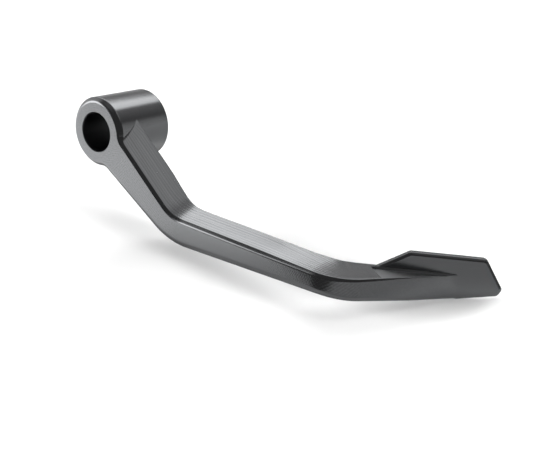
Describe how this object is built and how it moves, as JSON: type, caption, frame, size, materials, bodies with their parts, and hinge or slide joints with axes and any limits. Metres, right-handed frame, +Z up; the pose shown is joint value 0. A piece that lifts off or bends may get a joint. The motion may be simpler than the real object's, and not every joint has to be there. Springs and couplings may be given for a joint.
{
  "type": "brake lever guard",
  "caption": "Cranked lever guard with a bored bar-end hub, a chamfered arm bent down and inboard, and a flat angular blade at its tip.",
  "frame": {"origin": "on the axis of the hub's bore, in the hub's outer face", "axes": "+X forward along the long arm, +Y inboard along the bore, +Z up, as mounted at the right end of a handlebar"},
  "size_m": [0.1988, 0.0576, 0.055],
  "materials": {
    "guard": "milled, dark anodised, satin"
  },
  "bodies": {
    "root": {"lever_guard": "guard"}
  },
  "joints": []
}
